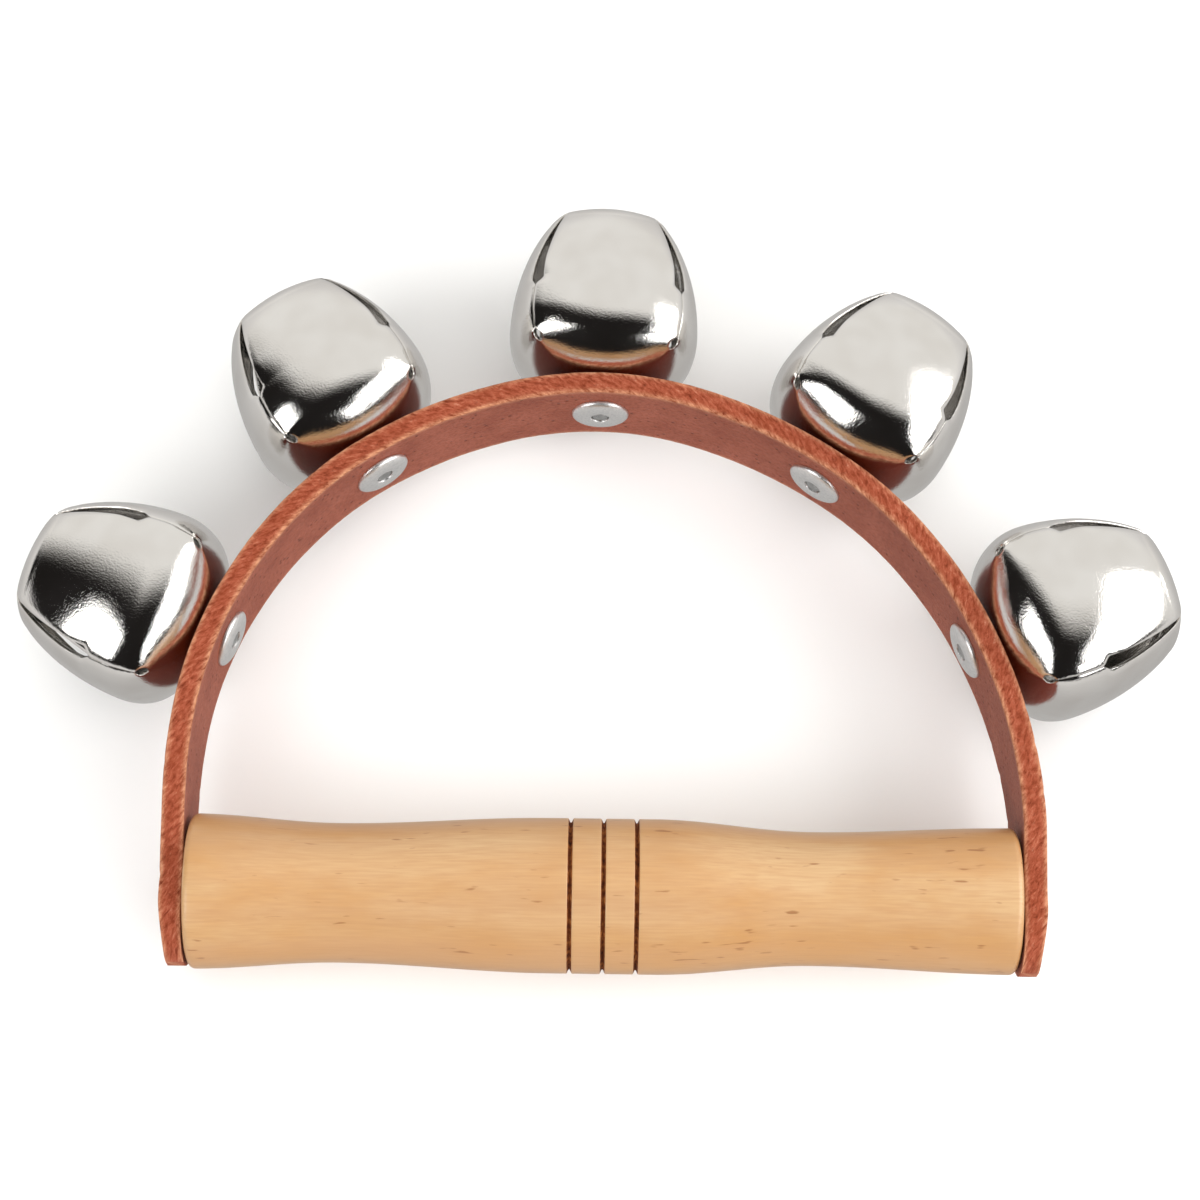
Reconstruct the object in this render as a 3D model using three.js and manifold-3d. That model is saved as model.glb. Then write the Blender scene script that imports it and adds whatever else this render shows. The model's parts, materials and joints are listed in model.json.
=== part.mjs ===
// Hand sleigh bells: a turned wooden grip, a leather strap bent over it into an arch, and five folded-sheet
// bells, each held to the strap by a blind rivet that it can turn about.
// The object lies flat. X runs along the grip, Y from the grip towards the crown of the arch, Z up.
// All sizes are in millimetres.
import * as THREE from 'three';
import { mergeVertices } from 'three/addons/utils/BufferGeometryUtils.js';
import Module from 'manifold-3d';

const wasm = await Module();
wasm.setup();

// ---- clearances ----
const seatGap = 0.3;            // between faces that rest on each other
const boreGap = 0.3;            // between a pin and its hole, on the radius

// ---- grip ----
const gripLength = 115;
const leftEndRadius = 10.8;
const leftWaistRadius = 9.7;
const leftWaistOffset = 37;     // from the middle of the grip
const landRadius = 10.8;
const landHalfLength = 7.2;
const rightWaistRadius = 9.3;
const rightWaistOffset = 29;
const rightEndRadius = 10.2;
const gripEdgeRound = 1.2;
const groovePitch = 4.6;
const grooveWidth = 0.9;
const grooveDepth = 0.7;

// ---- strap ----
const strapWidth = 15;
const strapThickness = 3.2;
const springHeight = 9;         // the legs end and the arch begins here, measured from the grip's axis
const legSpread = 0.3;          // each leg leans out by this much on its way up
const archRise = 64.2;          // from the spring to the crown, on the inner face
// How far the hand-bent strip stands out from a half ellipse, at equal steps from its right leg to its left.
const handBend = [0, -0.3, -0.4, -0.7, 0.4, 1, 2.1, 1.8, 0];
const tailLength = 10.5;        // from the grip's axis to the tip of the strap's round end

// ---- bells ----
const bellCount = 5;
const bellPitch = 34;           // along the strap's inner face
const bellTurns = [-10, 0, 3, 6, 4];        // degrees that each bell has swivelled about its own axis
const bellRocks = [0, -1.5, -1.5, 0, -5];   // degrees that it leans over on its rivet, along the strap
const bellWidth = 28;           // between opposite petals
const bellHeight = 28;
const tipRise = 3.7;              // from the fold, where a petal becomes its tip, to the top
const bellSheet = 0.6;
const bellBaseRadius = 5.5;     // flat part that sits on the strap
const bellyHeight = 8.5;        // where the petals stand furthest apart
const foldInset = 4.3;          // how far each fold stands in from the widest part
const petalArc = 2;             // radius of a petal's curve across, as a share of its distance from the axis
const squareHeight = 5;         // the round base has become four petals by here
const foldRoundness = 0.4;       // how much of that squareness is gone again at the folds
const edgeRoll = 0.65;           // how far a petal's edges curl in, between relief hole and slot
const slotBottom = 11.6;
const slotWidth = 2.4;
const tipGap = 0.5;             // between the tips that close the mouth
const reliefHeight = 3.8;
const reliefRadius = 0.7;

// ---- blind rivets ----
const rivetRadius = 2;
const flangeRadius = 4.2;
const flangeHeight = 1;
const flangeEdge = 0.35;        // height of the flange at its rim
const mandrelRadius = 1.15;
const mandrelRecess = 0.5;
const mandrelHeadRadius = 1.9;
const mandrelHeadLength = 1.6;
const blindHeadBulge = 1;       // how far the head formed inside the bell stands out from the shank
const blindHeadLength = 2.6;
const blindHeadRound = 0.7;

// ---- pellets ----
const pelletRadius = 3;
const pelletClearance = 0.8;    // above the rivet's inner end

// ---- end screws ----
const screwRadius = 1.75;
const screwLength = 22;         // under the strap, in the grip
const screwHeadRadius = 3.6;
const screwHeadDepth = 2;
const screwHeadEdge = 0.3;
const driveWidth = 0.9;
const driveLength = 4.2;
const driveDepth = 1.2;

// ---- finishes ----
const maple = new THREE.MeshStandardMaterial({ color: '#e3b37e', roughness: 0.5, metalness: 0 });
const leather = new THREE.MeshStandardMaterial({ color: '#a75a41', roughness: 0.85, metalness: 0 });
const nickel = new THREE.MeshStandardMaterial({ color: '#d8d6d2', roughness: 0.15, metalness: 1 });
const aluminium = new THREE.MeshStandardMaterial({ color: '#d2d3d2', roughness: 0.35, metalness: 1 });
const steel = new THREE.MeshStandardMaterial({ color: '#9a9a98', roughness: 0.35, metalness: 1 });

// ---- sizes worked out from the ones above ----
const legFace = gripLength / 2 + seatGap;
const bellRadius = bellWidth / 2;
const foldHeight = bellHeight - tipRise;
const foldRadius = bellRadius - foldInset;
const blindHeadRadius = rivetRadius + blindHeadBulge;
const blindHeadStart = strapThickness + seatGap + bellSheet + seatGap;
const blindHeadEnd = blindHeadStart + blindHeadLength;
const mandrelEnd = blindHeadEnd + seatGap + mandrelHeadLength;
const pelletHeight = mandrelEnd - strapThickness - seatGap + pelletClearance + pelletRadius;
const pelletDrop = bellRadius - bellSheet - seatGap - pelletRadius;

// ---- solids: closed meshes in, closed meshes out ----
function solid(geometry) {
  const bare = geometry.clone();
  bare.deleteAttribute('normal');
  bare.deleteAttribute('uv');
  const merged = mergeVertices(bare, 1e-4);
  return new wasm.Manifold(new wasm.Mesh({
    numProp: 3,
    vertProperties: new Float32Array(merged.attributes.position.array),
    triVerts: new Uint32Array(merged.index.array),
  }));
}

function geometryOf(manifold) {
  const mesh = manifold.getMesh();
  const geometry = new THREE.BufferGeometry();
  geometry.setAttribute('position', new THREE.BufferAttribute(mesh.vertProperties, 3));
  geometry.setIndex(new THREE.BufferAttribute(mesh.triVerts, 1));
  return geometry;
}

function cut(geometry, cutters) {
  return geometryOf(cutters.reduce((left, cutter) => left.subtract(solid(cutter)), solid(geometry)));
}

function namedMesh(name, geometry, material) {
  const mesh = new THREE.Mesh(geometry, material);
  mesh.name = name;
  return mesh;
}

// A turned shape about Z, from [radius, height] points.
function turned(points, segments) {
  const outline = points.map(([radius, height]) => new THREE.Vector2(radius, height));
  return new THREE.LatheGeometry(outline, segments).rotateX(Math.PI / 2);
}

function rod(radius, from, to, segments) {
  return turned([[0, from], [radius, from], [radius, to], [0, to]], segments);
}

// ---- arch: the strap's inner face, seen along Z, from the right spring at 0 to the left one at PI ----
const bendCurve = new THREE.SplineCurve(handBend.map((bend, i) => new THREE.Vector2(i, bend)));

function archPoint(angle) {
  const bend = bendCurve.getPoint(THREE.MathUtils.clamp(angle / Math.PI, 0, 1)).y;
  const halfWidth = legFace + legSpread + bend;
  return new THREE.Vector2(halfWidth * Math.cos(angle), springHeight + (archRise + bend) * Math.sin(angle));
}

function archOutward(angle) {
  const ahead = archPoint(Math.min(angle + 1e-4, Math.PI));
  const behind = archPoint(Math.max(angle - 1e-4, 0));
  return new THREE.Vector2(ahead.y - behind.y, behind.x - ahead.x).normalize();
}

// Angles at equal steps along the strap, counted from the middle of its length, left side first.
function archStations() {
  const steps = 2000;
  const lengths = [0];
  for (let i = 1; i <= steps; i += 1) {
    const here = archPoint((Math.PI * i) / steps);
    lengths.push(lengths[i - 1] + here.distanceTo(archPoint((Math.PI * (i - 1)) / steps)));
  }
  return Array.from({ length: bellCount }, (_, i) => {
    const along = lengths[steps] / 2 + ((bellCount - 1) / 2 - i) * bellPitch;
    const after = lengths.findIndex((length) => length >= along);
    const share = (along - lengths[after - 1]) / (lengths[after] - lengths[after - 1]);
    return (Math.PI * (after - 1 + share)) / steps;
  });
}

// A frame on the strap's inner face at a station: its Z points outwards, its Y along the width of the strap.
function stationGroup(angle) {
  const group = new THREE.Group();
  const outward = archOutward(angle);
  const out = new THREE.Vector3(outward.x, outward.y, 0);
  const up = new THREE.Vector3(0, 0, 1);
  const along = new THREE.Vector3().crossVectors(up, out);
  group.quaternion.setFromRotationMatrix(new THREE.Matrix4().makeBasis(along, up, out));
  const foot = archPoint(angle);
  group.position.set(foot.x, foot.y, 0);
  return group;
}

// ---- grip ----
function gripRadius(x) {
  const half = gripLength / 2;
  const ease = (from, to, share) => from + (to - from) * (1 - Math.cos(Math.PI * share)) / 2;
  if (x < -leftWaistOffset) {
    return ease(leftEndRadius, leftWaistRadius, (x + half) / (half - leftWaistOffset));
  }
  if (x < -landHalfLength) {
    return ease(leftWaistRadius, landRadius, (x + leftWaistOffset) / (leftWaistOffset - landHalfLength));
  }
  if (x < landHalfLength) {
    return landRadius;
  }
  if (x < rightWaistOffset) {
    return ease(landRadius, rightWaistRadius, (x - landHalfLength) / (rightWaistOffset - landHalfLength));
  }
  return ease(rightWaistRadius, rightEndRadius, (x - rightWaistOffset) / (half - rightWaistOffset));
}

function gripGeometry() {
  const half = gripLength / 2;
  const shoulder = gripEdgeRound * (1 - Math.SQRT1_2);
  const outline = [[0, -half], [leftEndRadius - gripEdgeRound, -half]];
  outline.push([leftEndRadius - shoulder, shoulder - half]);
  const steps = 16;
  const from = -half + gripEdgeRound;
  const to = half - gripEdgeRound;
  const stops = Array.from({ length: steps + 1 }, (_, i) => from + ((to - from) * i) / steps);
  const grooves = [-groovePitch, 0, groovePitch];
  const plain = stops.filter((x) => Math.abs(x) > groovePitch + grooveWidth);
  plain.filter((x) => x < 0).forEach((x) => outline.push([gripRadius(x), x]));
  grooves.forEach((x) => {
    outline.push([gripRadius(x), x - grooveWidth / 2]);
    outline.push([gripRadius(x) - grooveDepth, x]);
    outline.push([gripRadius(x), x + grooveWidth / 2]);
  });
  plain.filter((x) => x > 0).forEach((x) => outline.push([gripRadius(x), x]));
  outline.push([rightEndRadius - shoulder, half - shoulder]);
  outline.push([rightEndRadius - gripEdgeRound, half], [0, half]);
  const body = turned(outline, 24).rotateY(Math.PI / 2);
  const boreRadius = screwRadius + boreGap;
  const boreFloor = legFace - screwLength - boreGap;
  const bores = [1, -1].map((side) => {
    const [low, high] = [side * boreFloor, side * (half + 1)].sort((a, b) => a - b);
    return rod(boreRadius, low, high, 14).rotateY(Math.PI / 2);
  });
  return cut(body, bores);
}

// ---- strap ----
function strapBand() {
  const steps = 42;
  const angles = Array.from({ length: steps + 1 }, (_, i) => (Math.PI * i) / steps);
  const inner = angles.map(archPoint);
  const outer = angles.map((angle) => archPoint(angle).addScaledVector(archOutward(angle), strapThickness));
  const outside = legFace + strapThickness;
  const leg = (side, face) => [-tailLength, 0].map((height) => new THREE.Vector2(side * face, height));
  const outline = [
    ...leg(1, legFace), ...inner, ...leg(-1, legFace).reverse(),
    ...leg(-1, outside), ...outer.reverse(), ...leg(1, outside).reverse(),
  ];
  const shape = new THREE.Shape(outline);
  const band = new THREE.ExtrudeGeometry(shape, { depth: strapWidth, bevelEnabled: false });
  return band.translate(0, 0, -strapWidth / 2);
}

// The strip's outline across its width, straight-sided with a round tip, run along X through both legs.
function tipOutline() {
  const half = strapWidth / 2;
  const tipCentre = half - tailLength;
  const top = springHeight + archRise + strapThickness + 1;
  const shape = new THREE.Shape();
  shape.moveTo(-half, top);
  shape.lineTo(-half, tipCentre);
  shape.absarc(0, tipCentre, half, Math.PI, 2 * Math.PI, false);
  shape.lineTo(half, top);
  shape.closePath();
  const reach = legFace + strapThickness + 1;
  const depth = 2 * reach;
  const prism = new THREE.ExtrudeGeometry(shape, { depth, bevelEnabled: false, curveSegments: 12 });
  return prism.translate(0, 0, -reach).rotateY(Math.PI / 2);
}

function rivetHole(angle) {
  const station = stationGroup(angle);
  station.updateMatrix();
  return rod(rivetRadius + boreGap, -1, strapThickness + 1, 16).applyMatrix4(station.matrix);
}

function screwHole(side) {
  const outside = strapThickness + 1;
  const wide = screwHeadRadius + boreGap;
  const narrow = screwRadius + boreGap;
  const hole = turned([
    [0, -1],
    [narrow, -1],
    [narrow, strapThickness - screwHeadDepth],
    [wide, strapThickness - screwHeadEdge],
    [wide, outside],
    [0, outside],
  ], 18);
  return hole.translate(0, 0, legFace).rotateY((side * Math.PI) / 2);
}

function strapGeometry(stations) {
  const tongue = solid(strapBand()).intersect(solid(tipOutline()));
  const holes = [...stations.map(rivetHole), screwHole(1), screwHole(-1)];
  return geometryOf(holes.reduce((left, hole) => left.subtract(solid(hole)), tongue));
}

// ---- bells ----
// Distance from the axis and height of the sheet's outer face, along the middle of a petal: a bowl-shaped
// base, a side that leans in as it rises, and a tip that bends over to the axis.
function petalProfile() {
  const base = new THREE.CubicBezierCurve(
    new THREE.Vector2(bellBaseRadius, 0),
    new THREE.Vector2(bellBaseRadius + 0.45 * (bellRadius - bellBaseRadius), 0),
    new THREE.Vector2(bellRadius, 0.36 * bellyHeight),
    new THREE.Vector2(bellRadius, bellyHeight),
  );
  const side = new THREE.CubicBezierCurve(
    new THREE.Vector2(bellRadius, bellyHeight),
    new THREE.Vector2(bellRadius, bellyHeight + 0.48 * (foldHeight - bellyHeight)),
    new THREE.Vector2(1.17 * foldRadius, bellyHeight + 0.85 * (foldHeight - bellyHeight)),
    new THREE.Vector2(foldRadius, foldHeight),
  );
  const tip = new THREE.CubicBezierCurve(
    new THREE.Vector2(foldRadius, foldHeight),
    new THREE.Vector2(0.9 * foldRadius, foldHeight + 0.55 * tipRise),
    new THREE.Vector2(0.5 * foldRadius, bellHeight),
    new THREE.Vector2(0, bellHeight),
  );
  return [...base.getPoints(3), ...side.getPoints(3).slice(1), ...tip.getPoints(2).slice(1)];
}

// The same line moved inwards by the thickness of the sheet.
function insideOf(profile, thickness) {
  return profile.map((point, i) => {
    const before = profile[Math.max(i - 1, 0)];
    const after = profile[Math.min(i + 1, profile.length - 1)];
    const run = new THREE.Vector2().subVectors(after, before).normalize();
    const inward = new THREE.Vector2(-run.y, run.x).multiplyScalar(thickness);
    if (i === 0) {
      inward.set(0, thickness);
    }
    if (i === profile.length - 1) {
      inward.set(0, -thickness);
    }
    return point.clone().add(inward);
  });
}

// How much further out than a petal's middle the sheet lies, at an angle about the bell's axis.
function petalReach(angle) {
  const quarter = Math.PI / 2;
  const fromMiddle = angle - quarter * Math.round(angle / quarter);
  const offset = petalArc - 1;
  return Math.sqrt(petalArc ** 2 - (offset * Math.sin(fromMiddle)) ** 2) - offset * Math.cos(fromMiddle);
}

// How far the sheet is curled in at an angle and height.
function edgeCurl(angle, height) {
  const quarter = Math.PI / 2;
  const fromMiddle = Math.abs(angle - quarter * Math.round(angle / quarter)) / (quarter / 2);
  const outer = Math.max(fromMiddle - 0.5, 0) / 0.5;
  const above = THREE.MathUtils.smoothstep(height, 0.8 * reliefHeight, 1.8 * reliefHeight);
  const below = 1 - THREE.MathUtils.smoothstep(height, slotBottom - 1, slotBottom + 5);
  return edgeRoll * outer ** 2 * above * below;
}

function petalled(profile) {
  const points = [[0, profile[0].y], ...profile.map((point) => [point.x, point.y])];
  const geometry = turned(points, 24);
  const position = geometry.attributes.position;
  for (let i = 0; i < position.count; i += 1) {
    const x = position.getX(i);
    const y = position.getY(i);
    const height = position.getZ(i);
    const rounding = foldRoundness * THREE.MathUtils.smoothstep(height, bellyHeight, foldHeight);
    const squareness = THREE.MathUtils.smoothstep(height, 0, squareHeight) * (1 - rounding);
    const angle = Math.atan2(y, x);
    const curl = edgeCurl(angle, height) / Math.max(Math.hypot(x, y), bellBaseRadius);
    const reach = 1 + squareness * (petalReach(angle) - 1) - curl;
    position.setX(i, x * reach);
    position.setY(i, y * reach);
  }
  return geometry;
}

// A teardrop slot, wide and blunt below and pointed above, cut through one corner from outside.
function slotCutter(corner) {
  const half = slotWidth / 2;
  const point = 0.2 * half;
  const top = foldHeight + 0.2 * tipRise;
  const middle = (slotBottom + top) / 2;
  const shape = new THREE.Shape();
  shape.moveTo(0, slotBottom);
  shape.lineTo(half, slotBottom + half);
  shape.quadraticCurveTo(half, middle, point, top);
  shape.lineTo(-point, top);
  shape.quadraticCurveTo(-half, middle, -half, slotBottom + half);
  shape.closePath();
  const depth = bellRadius;
  const prism = new THREE.ExtrudeGeometry(shape, { depth, bevelEnabled: false, curveSegments: 2 });
  return prism.rotateX(Math.PI / 2).translate(0, -0.4 * bellRadius, 0).rotateZ(corner);
}

function tipSlit(corner) {
  const low = foldHeight - 1;
  const high = bellHeight + 1;
  const slit = new THREE.BoxGeometry(tipGap, 2 * foldRadius, high - low);
  return slit.translate(0, 0, (low + high) / 2).rotateZ(corner);
}

function reliefCutter(corner) {
  const hole = rod(reliefRadius, 0.5 * bellRadius, 1.5 * bellRadius, 6).rotateX(Math.PI / 2);
  return hole.translate(0, 0, reliefHeight).rotateZ(corner);
}

function bellGeometry() {
  const profile = petalProfile();
  const corners = [0, 1, 2, 3].map((i) => Math.PI / 4 + (i * Math.PI) / 2);
  return cut(petalled(profile), [
    petalled(insideOf(profile, bellSheet)),
    rod(rivetRadius + boreGap, -1, 2 * bellSheet, 16),
    tipSlit(corners[0]),
    tipSlit(corners[1]),
    ...corners.map(slotCutter),
    ...corners.map(reliefCutter),
  ]);
}

// ---- blind rivets, their mandrels and the pellets, in the frame of a station ----
function rivetGeometry() {
  const core = mandrelRadius + boreGap;
  const under = -seatGap;
  const crest = under - flangeHeight;
  const outline = [
    [core, crest],
    [core, blindHeadEnd],
    [blindHeadRadius - blindHeadRound, blindHeadEnd],
    [blindHeadRadius, blindHeadEnd - blindHeadRound],
    [blindHeadRadius, blindHeadStart + blindHeadRound],
    [blindHeadRadius - blindHeadRound, blindHeadStart],
    [rivetRadius, blindHeadStart],
    [rivetRadius, under],
    [flangeRadius, under],
    [flangeRadius, under - flangeEdge],
    [0.8 * flangeRadius, under - 0.8 * flangeHeight],
    [1.3 * core, crest],
    [core, crest],
  ];
  return turned(outline.reverse(), 12);
}

function mandrelGeometry() {
  const start = -seatGap - flangeHeight + mandrelRecess;
  const headStart = blindHeadEnd + seatGap;
  return turned([
    [0, start],
    [mandrelRadius, start],
    [mandrelRadius, headStart],
    [mandrelHeadRadius, headStart],
    [mandrelHeadRadius, headStart + 0.6 * mandrelHeadLength],
    [0.6 * mandrelHeadRadius, mandrelEnd],
    [0, mandrelEnd],
  ], 10);
}

// ---- end screws: the head's face is flush with the outside of the strap ----
function screwGeometry(side) {
  const face = strapThickness;
  const shank = turned([
    [0, -screwLength],
    [screwRadius, 2 * screwRadius - screwLength],
    [screwRadius, face - screwHeadDepth],
    [screwHeadRadius, face - screwHeadEdge],
    [screwHeadRadius, face],
    [0, face],
  ], 16);
  const bars = [0, Math.PI / 2].map((turn) => {
    const bar = new THREE.BoxGeometry(driveLength, driveWidth, 2 * driveDepth);
    return bar.translate(0, 0, face).rotateZ(turn);
  });
  return cut(shank, bars).translate(0, 0, legFace).rotateY((side * Math.PI) / 2);
}

// ---- assembly, built about the middle of the grip's axis ----
const stations = archStations();
const object = new THREE.Group();
object.add(namedMesh('handle', gripGeometry(), maple));
object.add(namedMesh('strap', strapGeometry(stations), leather));
object.add(namedMesh('screw_left', screwGeometry(-1), steel));
object.add(namedMesh('screw_right', screwGeometry(1), steel));

const bell = bellGeometry();
stations.forEach((angle, i) => {
  const station = stationGroup(angle);
  const seat = new THREE.Group();
  seat.position.z = strapThickness + seatGap;
  seat.rotation.set(0, THREE.MathUtils.degToRad(bellRocks[i]), 0);
  const shell = namedMesh(`bell_${i + 1}`, bell, nickel);
  shell.rotation.z = THREE.MathUtils.degToRad(bellTurns[i]);
  const pellet = namedMesh(`pellet_${i + 1}`, new THREE.SphereGeometry(pelletRadius, 12, 6), steel);
  pellet.position.set(0, -pelletDrop, pelletHeight);
  shell.add(pellet);
  seat.add(shell);
  station.add(seat);
  station.add(namedMesh(`rivet_${i + 1}`, rivetGeometry(), aluminium));
  station.add(namedMesh(`mandrel_${i + 1}`, mandrelGeometry(), steel));
  object.add(station);
});

// The origin is the middle of the underside of the whole object's box: the bells rest on Z = 0.
object.updateMatrixWorld(true);
const box = new THREE.Box3().setFromObject(object, true);
const middle = box.getCenter(new THREE.Vector3());
object.position.set(-middle.x, -middle.y, -box.min.z);

const sleighBells = new THREE.Group();
sleighBells.add(object);
export default sleighBells;
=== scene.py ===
"""Hand sleigh bells: a turned maple grip, a leather strap bent over it and five folded bells on rivets.

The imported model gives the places. Lengths are in millimetres, and MM makes them metres where they are used.
"""

import json
import math

import bmesh
import bpy
from mathutils import Matrix, Vector, noise


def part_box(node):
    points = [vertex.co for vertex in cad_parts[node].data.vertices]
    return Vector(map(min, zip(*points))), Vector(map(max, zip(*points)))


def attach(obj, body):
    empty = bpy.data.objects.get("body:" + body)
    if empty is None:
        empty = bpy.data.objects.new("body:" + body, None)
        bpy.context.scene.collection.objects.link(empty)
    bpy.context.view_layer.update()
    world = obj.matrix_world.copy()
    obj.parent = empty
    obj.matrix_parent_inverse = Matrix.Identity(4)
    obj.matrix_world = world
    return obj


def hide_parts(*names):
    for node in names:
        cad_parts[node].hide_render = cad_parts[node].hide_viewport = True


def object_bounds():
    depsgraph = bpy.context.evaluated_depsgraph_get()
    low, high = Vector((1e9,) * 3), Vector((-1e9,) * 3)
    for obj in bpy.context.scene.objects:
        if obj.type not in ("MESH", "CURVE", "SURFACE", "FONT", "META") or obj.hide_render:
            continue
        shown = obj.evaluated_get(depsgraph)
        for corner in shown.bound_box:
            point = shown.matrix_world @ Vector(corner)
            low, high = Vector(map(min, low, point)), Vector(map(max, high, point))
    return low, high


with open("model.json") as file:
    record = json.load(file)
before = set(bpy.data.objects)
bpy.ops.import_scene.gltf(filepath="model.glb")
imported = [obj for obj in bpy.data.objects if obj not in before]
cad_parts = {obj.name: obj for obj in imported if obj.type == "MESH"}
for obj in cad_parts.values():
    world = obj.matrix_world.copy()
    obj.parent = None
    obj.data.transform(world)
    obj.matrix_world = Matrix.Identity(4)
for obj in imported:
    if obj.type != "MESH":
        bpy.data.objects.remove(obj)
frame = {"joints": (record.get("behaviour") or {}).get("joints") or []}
cad_low, cad_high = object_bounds()

MM = 0.001
BELLS = 5

# ---- the grip, as the lathe leaves it ----
GRIP_LENGTH = 115
GRIP_HALF = GRIP_LENGTH / 2
LEFT_END_RADIUS = 10.8
LEFT_WAIST_RADIUS = 9.7
LEFT_WAIST_OFFSET = 37
LAND_RADIUS = 10.8
LAND_HALF_LENGTH = 7.2
RIGHT_WAIST_RADIUS = 9.3
RIGHT_WAIST_OFFSET = 29
RIGHT_END_RADIUS = 10.2
GRIP_EDGE_ROUND = 1.0
GROOVE_PITCH = 4.6
GROOVE_WIDTH = 0.8
GROOVE_DEPTH = 0.65
# half of a groove's outline: shares of its width from its middle, and of its depth
GROOVE_OUTLINE = [(0.6, 0), (0.5, 0.02), (0.4, 0.12), (0.16, 0.8), (0, 1)]
# how much of a groove's width, each side of its middle, is painted dark brown as the shade in it
GROOVE_SHADE_SHARE = 0.3
GRIP_BORE = 2.05
GRIP_STEPS = 128

# ---- the strap, cut from thick hide and bent by hand ----
STRAP_WIDTH = 15
STRAP_THICKNESS = 3.2
SEAT_GAP = 0.3
LEG_FACE = GRIP_HALF + SEAT_GAP
SPRING_HEIGHT = 9
LEG_SPREAD = 0.3
ARCH_RISE = 64.2
HAND_BEND = [0, -0.3, -0.4, -0.7, 0.4, 1, 2.1, 1.8, 0]
TAIL_LENGTH = 10.5
TAIL_SKIVE = 0.22
STRAP_EDGE_ROUND = 0.3
STRAP_STEP = 0.5
FACE_STEPS = 22
RIM_STEPS = 9
TIP_ANGLES = [9, 16, 24, 32, 40, 49, 58, 67, 76, 85]
# creases that bending has pressed across the strip: how far along it, and how deep
CREASES = [(24, 0.12), (31, 0.14), (36, 0.1), (206, 0.08), (222, 0.16)]
CREASE_WIDTH = 0.5
# how far the knife and the hide stray: the cut rim twice, the strip's width, its faces
RIM_COARSE = 0.07
RIM_FINE = 0.05
WIDTH_WANDER = 0.12
FACE_WAVE = 0.03
FRAY_WIDTH = 0.45

# ---- the bells, pressed and folded from sheet ----
BELL_PITCH = 34
BELL_RADIUS = 14
BELL_HEIGHT = 28
BELL_SHEET = 0.6
BELL_BASE_RADIUS = 5.5
BELLY_HEIGHT = 8.5
FOLD_HEIGHT = 24.3
FOLD_RADIUS = 9.7
TIP_RISE = BELL_HEIGHT - FOLD_HEIGHT
PETAL_ARC = 2
SQUARE_HEIGHT = 5
FOLD_ROUNDNESS = 0.4
EDGE_ROLL = 0.65
SHEARED_ROLL = 0.16
SHEET_EDGE_ROUND = 0.09
PETAL_COLUMNS = 33
HOLE_ROWS = 4
BASE_ROWS = 44
SIDE_ROWS = 52
TIP_ROWS = 24
TIP_END_RADIUS = 0.9
RIVET_HOLE = 2.3
SEAM_GAP = 0.05
SLOT_BOTTOM = 11.6
SLOT_TOP = 25
SLOT_HALF_WIDTH = 1.2
TIP_GAP = 0.25
RELIEF_HEIGHT = 3.8
RELIEF_RADIUS = 0.7

# ---- the fastenings and what rings ----
RIVET_RADIUS = 2
FLANGE_RADIUS = 4.2
FLANGE_HEIGHT = 1
FLANGE_EDGE = 0.22
FLANGE_FLAT = 0.9
FLANGE_GAP = 0.05
MANDREL_RADIUS = 1.15
MANDREL_GAP = 0.12
MANDREL_SUNK = 0.22
MANDREL_HEAD_RADIUS = 1.9
BLIND_HEAD_START = STRAP_THICKNESS + SEAT_GAP + BELL_SHEET + SEAT_GAP
BLIND_HEAD_END = BLIND_HEAD_START + 2.6
BLIND_HEAD_RADIUS = 3
MANDREL_END = BLIND_HEAD_END + SEAT_GAP + 1.6
PELLET_RADIUS = 3
PELLET_DENT = 0.03
SCREW_HEAD_RADIUS = 3.6
SCREW_LENGTH = 22
SCREW_NECK_RADIUS = 1.7
SCREW_CORE_RADIUS = 1.25
THREAD_RADIUS = 1.75
THREAD_PITCH = 1.7
THREAD_TURNS = 9
SEAT_SLACK = 0.12
SEAT_BORE = 1.85
CROSS_LENGTH = 4.2
CROSS_WIDTH = 0.9
CROSS_DEPTH = 1.2

grip_low, grip_high = (Vector(corner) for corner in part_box("handle"))
GRIP_CENTRE = (grip_low + grip_high) / 2


# ---------------------------------------------------------------- materials
def linear(code):
    """An sRGB hex colour as the linear RGBA that the shaders take."""
    values = [int(code[i:i + 2], 16) / 255 for i in (1, 3, 5)]
    return tuple(v / 12.92 if v <= 0.04045 else ((v + 0.055) / 1.055) ** 2.4 for v in values) + (1.0,)


def add(tree, kind, inputs=(), out=0, stops=(), **settings):
    """Adds a node: settings are its properties, inputs are values or other nodes' sockets, stops are a ramp's
    positions and hex colours. Returns the output socket that out names."""
    made = tree.nodes.new("ShaderNode" + kind)
    for key, value in settings.items():
        setattr(made, key, value)
    for name, value in dict(inputs).items():
        if isinstance(value, bpy.types.NodeSocket):
            tree.links.new(value, made.inputs[name])
        else:
            made.inputs[name].default_value = linear(value) if isinstance(value, str) else value
    for i, (position, code) in enumerate(stops):
        element = made.color_ramp.elements[i] if i < 2 else made.color_ramp.elements.new(position)
        element.position, element.color = position, linear(code)
    return made.outputs[out] if made.outputs else made


def new_material(name, **constants):
    """A material with one principled shader and those constants on it; returns it and its tree."""
    made = bpy.data.materials.new(name)
    made.use_nodes = True
    for key, value in constants.items():
        socket = made.node_tree.nodes["Principled BSDF"].inputs[key.replace("_", " ")]
        socket.default_value = linear(value) if isinstance(value, str) else value
    return made, made.node_tree


def finish_material(tree, colour, roughness, normal):
    """Gives the principled shader its three sockets that vary over a piece."""
    shader = tree.nodes["Principled BSDF"]
    tree.links.new(colour, shader.inputs["Base Color"])
    tree.links.new(roughness, shader.inputs["Roughness"])
    tree.links.new(normal, shader.inputs["Normal"])


def per_mm(size):
    """The scale that gives a noise or cell pattern features of that many millimetres."""
    return 1 / (size * MM)


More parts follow.
